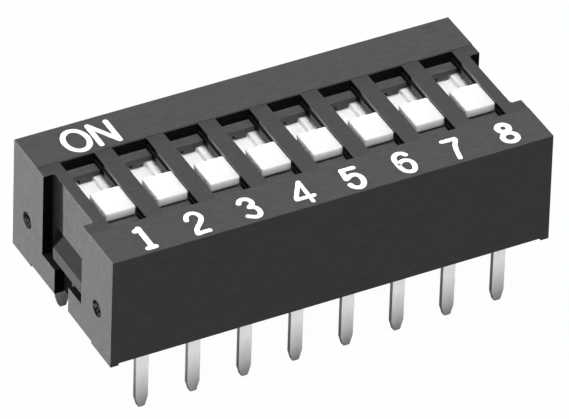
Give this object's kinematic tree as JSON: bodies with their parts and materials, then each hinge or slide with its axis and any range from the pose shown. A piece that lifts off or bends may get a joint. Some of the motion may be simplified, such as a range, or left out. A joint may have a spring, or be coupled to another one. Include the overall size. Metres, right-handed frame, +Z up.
{
  "type": "dip switch",
  "caption": "Dual-in-line slide switch: black case with a row of windows, a white slider in each, and two rows of straight through-hole pins.",
  "frame": {"origin": "middle of the pin pattern, on the plane that the cover's feet stand on", "axes": "+X along the row of ways from way 1 to way 8, +Y from the numbered side to the ON side, +Z up out of the windows"},
  "size_m": [0.0218, 0.0098, 0.0091],
  "materials": {
    "cover_plastic": "satin moulded",
    "base_plastic": "satin moulded",
    "tinned_terminal": "bright tin plate",
    "slider_plastic": "smooth moulded",
    "legend_ink": "flat printed ink",
    "contact_metal": "plated spring sheet"
  },
  "bodies": {
    "case": {"cover": "cover_plastic", "base": "base_plastic", "terminal_front_1": "tinned_terminal", "terminal_front_2": "tinned_terminal", "terminal_front_3": "tinned_terminal", "terminal_front_4": "tinned_terminal", "terminal_front_5": "tinned_terminal", "terminal_front_6": "tinned_terminal", "terminal_front_7": "tinned_terminal", "terminal_front_8": "tinned_terminal", "terminal_back_1": "tinned_terminal", "terminal_back_2": "tinned_terminal", "terminal_back_3": "tinned_terminal", "terminal_back_4": "tinned_terminal", "terminal_back_5": "tinned_terminal", "terminal_back_6": "tinned_terminal", "terminal_back_7": "tinned_terminal", "terminal_back_8": "tinned_terminal"},
    "switch_1": {"slider_1": "slider_plastic", "contact_1": "contact_metal"},
    "switch_2": {"slider_2": "slider_plastic", "contact_2": "contact_metal"},
    "switch_3": {"slider_3": "slider_plastic", "contact_3": "contact_metal"},
    "switch_4": {"slider_4": "slider_plastic", "contact_4": "contact_metal"},
    "switch_5": {"slider_5": "slider_plastic", "contact_5": "contact_metal"},
    "switch_6": {"slider_6": "slider_plastic", "contact_6": "contact_metal"},
    "switch_7": {"slider_7": "slider_plastic", "contact_7": "contact_metal"},
    "switch_8": {"slider_8": "slider_plastic", "contact_8": "contact_metal"}
  },
  "joints": [
    {"name": "slide_1", "type": "slide", "parent": "case", "child": "switch_1", "axis": [0, 1, 0], "range_m": [0, 0.0016]},
    {"name": "slide_2", "type": "slide", "parent": "case", "child": "switch_2", "axis": [0, 1, 0], "range_m": [0, 0.0016]},
    {"name": "slide_3", "type": "slide", "parent": "case", "child": "switch_3", "axis": [0, 1, 0], "range_m": [0, 0.0016]},
    {"name": "slide_4", "type": "slide", "parent": "case", "child": "switch_4", "axis": [0, 1, 0], "range_m": [0, 0.0016]},
    {"name": "slide_5", "type": "slide", "parent": "case", "child": "switch_5", "axis": [0, 1, 0], "range_m": [0, 0.0016]},
    {"name": "slide_6", "type": "slide", "parent": "case", "child": "switch_6", "axis": [0, 1, 0], "range_m": [0, 0.0016]},
    {"name": "slide_7", "type": "slide", "parent": "case", "child": "switch_7", "axis": [0, 1, 0], "range_m": [0, 0.0016]},
    {"name": "slide_8", "type": "slide", "parent": "case", "child": "switch_8", "axis": [0, 1, 0], "range_m": [0, 0.0016]}
  ]
}
